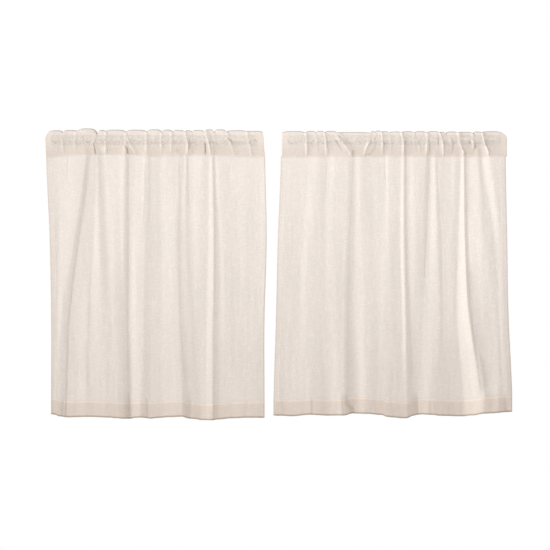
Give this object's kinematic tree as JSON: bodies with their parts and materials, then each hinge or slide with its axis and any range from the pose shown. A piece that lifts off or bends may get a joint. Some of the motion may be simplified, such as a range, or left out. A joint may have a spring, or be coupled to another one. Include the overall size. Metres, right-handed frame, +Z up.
{
  "type": "pair of rod pocket cafe curtains",
  "caption": "Pair of short, softly gathered rod pocket curtains in open cream cotton, hung side by side as on one rod, with hemmed feet and sides.",
  "frame": {"origin": "middle of the pair, between the two curtains, on the line of their top edge", "axes": "+X along the rod, to the right seen from the front; +Y towards the window, so the front faces -Y; +Z up"},
  "size_m": [1.5002, 0.0538, 0.941],
  "materials": {
    "panel_cloth": "open plain-woven unbleached cotton, semi-sheer, matt, with thick and thin threads",
    "pocket_cloth": "the same cotton doubled, less sheer, matt"
  },
  "bodies": {
    "root": {"left_heading": "pocket_cloth", "left_panel": "panel_cloth", "right_heading": "pocket_cloth", "right_panel": "panel_cloth"}
  },
  "joints": []
}
